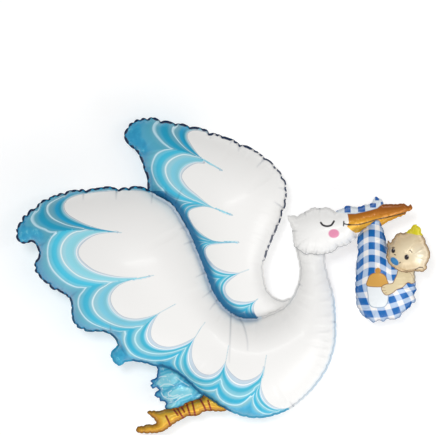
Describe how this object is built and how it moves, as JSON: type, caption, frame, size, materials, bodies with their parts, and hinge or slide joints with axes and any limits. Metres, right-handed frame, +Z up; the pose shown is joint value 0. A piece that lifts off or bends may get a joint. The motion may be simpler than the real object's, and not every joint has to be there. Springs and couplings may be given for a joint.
{
  "type": "stork foil balloon",
  "caption": "Inflated foil balloon shaped as a flying stork that carries a baby in a checked bundle, lying on its back as it lies when loose.",
  "frame": {"origin": "centre of the bounding box, on the floor that the balloon lies on", "axes": "+X towards the beak, +Y towards the tip of the far wing, +Z up, towards the printed front"},
  "size_m": [1.1566, 0.8872, 0.2351],
  "materials": {
    "body_foil": "printed foil film, white with blue feather bands, semi-gloss",
    "wing_foil": "printed foil film, white with blue feather bands, semi-gloss",
    "tail_foil": "printed foil film, pale and deep blue, semi-gloss",
    "gold_foil": "gold printed foil film, glossy",
    "head_foil": "printed foil film, white with a gold beak, semi-gloss",
    "bundle_foil": "printed foil film, blue and white checks, semi-gloss",
    "baby_foil": "printed foil film, beige, semi-gloss"
  },
  "bodies": {
    "root": {"body_and_near_wing": "body_foil", "far_wing": "wing_foil", "tail": "tail_foil", "leg_and_foot": "gold_foil", "head_and_beak": "head_foil", "bundle": "bundle_foil", "baby_head": "baby_foil"}
  },
  "joints": []
}
